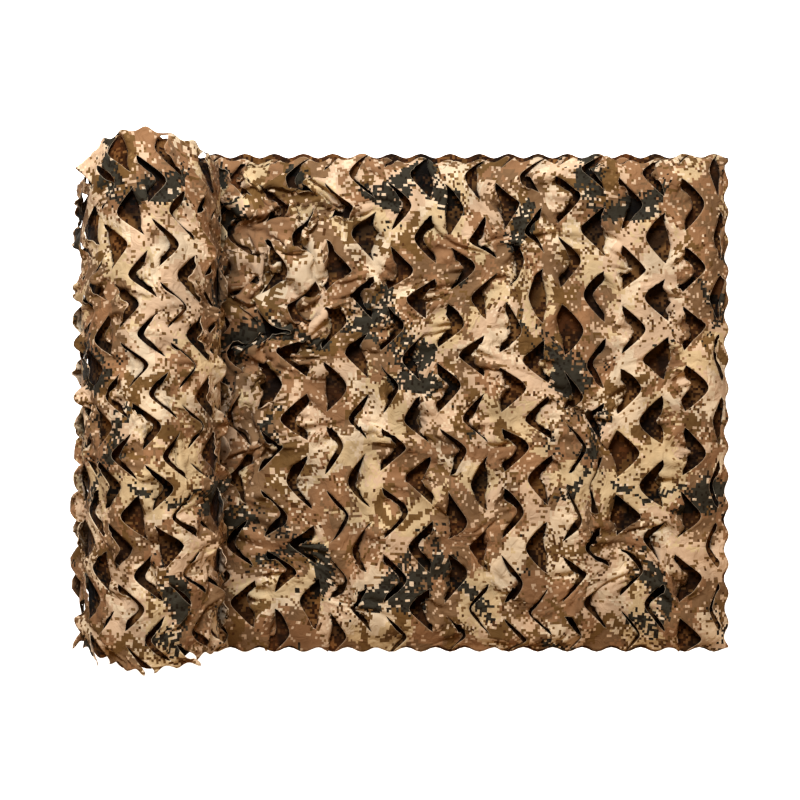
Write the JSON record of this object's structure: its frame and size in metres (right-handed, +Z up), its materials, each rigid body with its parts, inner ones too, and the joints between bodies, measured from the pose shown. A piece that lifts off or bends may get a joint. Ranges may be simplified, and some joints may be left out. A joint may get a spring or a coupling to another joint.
{
  "type": "camouflage netting",
  "caption": "Printed cloth netting with leaf-like cut tongues: a loose end lies flat in plies and runs out from under a wound roll.",
  "frame": {"origin": "on the underside of the lower ply, where it rests, at the middle of the netting's length and width", "axes": "+X from the roll towards the loose end, +Y along the roll's axis and across the cloth's width, +Z up"},
  "size_m": [1.9278, 1.5182, 0.4235],
  "materials": {
    "wound_cloth": "matte printed cloth",
    "upper_cloth": "matte printed cloth",
    "lower_cloth": "matte printed cloth"
  },
  "bodies": {
    "root": {"roll": "wound_cloth", "upper_ply": "upper_cloth", "lower_ply": "lower_cloth"}
  },
  "joints": []
}
